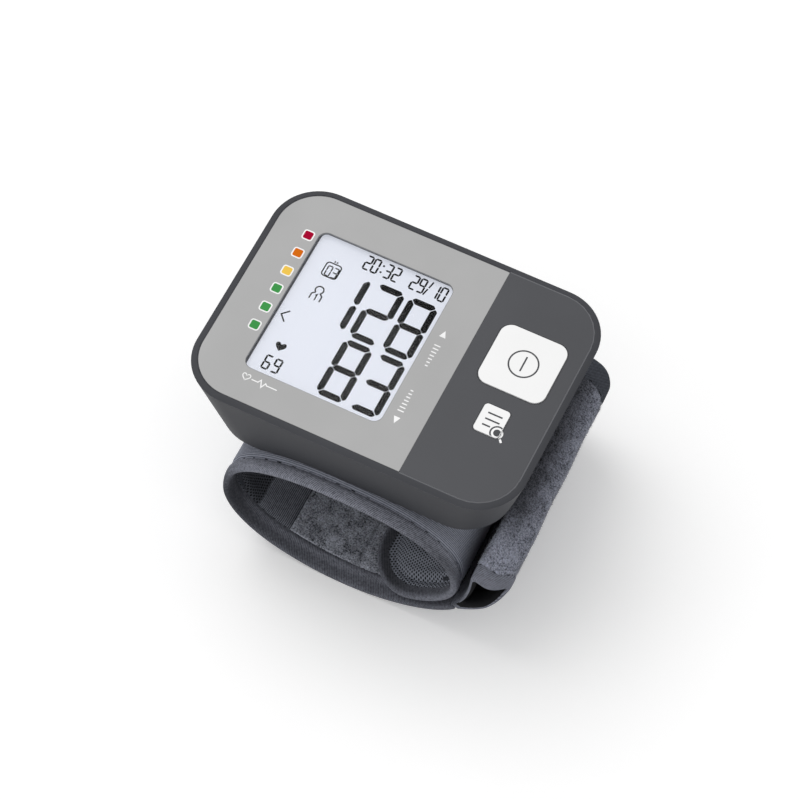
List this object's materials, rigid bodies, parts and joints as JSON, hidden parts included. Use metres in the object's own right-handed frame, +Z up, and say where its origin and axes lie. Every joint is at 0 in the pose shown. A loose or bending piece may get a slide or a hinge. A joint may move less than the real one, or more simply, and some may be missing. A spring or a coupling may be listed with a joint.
{
  "type": "wrist blood pressure monitor",
  "caption": "Wrist blood pressure monitor: a tapered display unit with start and memory keys on a lapped fabric air cuff with a folded closure strap.",
  "frame": {"origin": "on the flat under the cuff, below the middle of the display unit", "axes": "+Z up out of the display, +X towards the keys, +Y towards the display's upper edge, along the wrist"},
  "size_m": [0.0846, 0.065, 0.064],
  "materials": {
    "case_plastic": "satin moulded ABS, dark grey",
    "light_plastic": "satin light grey front plate",
    "white_plastic": "smooth white",
    "clear_plastic": "clear polished window",
    "display_glass": "pale display panel",
    "black_plastic": "black moulded plastic",
    "black_rubber": "conductive rubber strip",
    "board": "green solder mask",
    "steel": "plated steel",
    "cell": "plain printed sleeve",
    "copper": "enamelled copper winding",
    "soft_tube": "soft silicone tube",
    "cuff_film": "flexible film",
    "cuff_cloth": "woven dark blue-grey cloth",
    "lining_cloth": "dark mesh lining",
    "velour": "brushed loop fabric",
    "hook_tape": "black hook tape"
  },
  "bodies": {
    "monitor": {"top_cover": "case_plastic", "lower_body": "case_plastic", "housing_screw_1": "steel", "housing_screw_2": "steel", "housing_screw_3": "steel", "housing_screw_4": "steel", "display_fascia": "light_plastic", "keypad_fascia": "case_plastic", "display_lens": "clear_plastic", "start_switch": "black_plastic", "memory_switch": "black_plastic", "lcd_panel": "display_glass", "lcd_backlight": "white_plastic", "lcd_contact_strip_lower": "black_rubber", "lcd_contact_strip_upper": "black_rubber", "main_board": "board", "buzzer": "black_plastic", "battery_1": "cell", "battery_2": "cell", "battery_contact_1": "steel", "battery_contact_2": "steel", "battery_bridge": "steel", "pump_motor": "steel", "pump_head": "black_plastic", "valve_yoke": "steel", "valve_coil": "copper", "pressure_sensor": "black_plastic", "air_tee": "white_plastic", "pump_hose": "soft_tube", "valve_hose": "soft_tube", "cuff_sleeve": "cuff_cloth", "cuff_stiffener": "cuff_film", "air_bladder": "cuff_film", "cuff_lining": "lining_cloth", "loop_patch": "velour", "cuff_air_port": "white_plastic"},
    "start_key": {"start_key": "white_plastic"},
    "memory_key": {"memory_key": "white_plastic"},
    "battery_cover": {"battery_cover": "case_plastic"},
    "pump_crank": {"pump_crank": "white_plastic"},
    "valve_plunger": {"valve_plunger": "steel"},
    "closure_strap": {"closure_strap": "velour", "hook_patch": "hook_tape"}
  },
  "joints": [
    {"name": "start_key_press", "type": "slide", "parent": "monitor", "child": "start_key", "axis": [0, 0, -1], "range_m": [0, 0.0005], "stiffness_N_per_m": 800, "springref_m": -0.001},
    {"name": "memory_key_press", "type": "slide", "parent": "monitor", "child": "memory_key", "axis": [0, 0, -1], "range_m": [0, 0.0005], "stiffness_N_per_m": 800, "springref_m": -0.001},
    {"name": "battery_cover_slide", "type": "slide", "parent": "monitor", "child": "battery_cover", "axis": [-1, 0, 0], "range_m": [0, 0.02]},
    {"name": "pump_crank_spin", "type": "hinge", "parent": "monitor", "child": "pump_crank", "pos_m": [0.024, -0.003, 0.0527], "axis": [0, 1, 0], "continuous": true},
    {"name": "valve_plunger_pull", "type": "slide", "parent": "monitor", "child": "valve_plunger", "axis": [0, -1, 0], "range_m": [0, 0.0006], "stiffness_N_per_m": 200, "springref_m": -0.001},
    {"name": "closure_strap_swing", "type": "hinge", "parent": "monitor", "child": "closure_strap", "pos_m": [0.03162, 0, 0.01405], "axis": [0, 1, 0], "range_deg": [0, 60]}
  ]
}
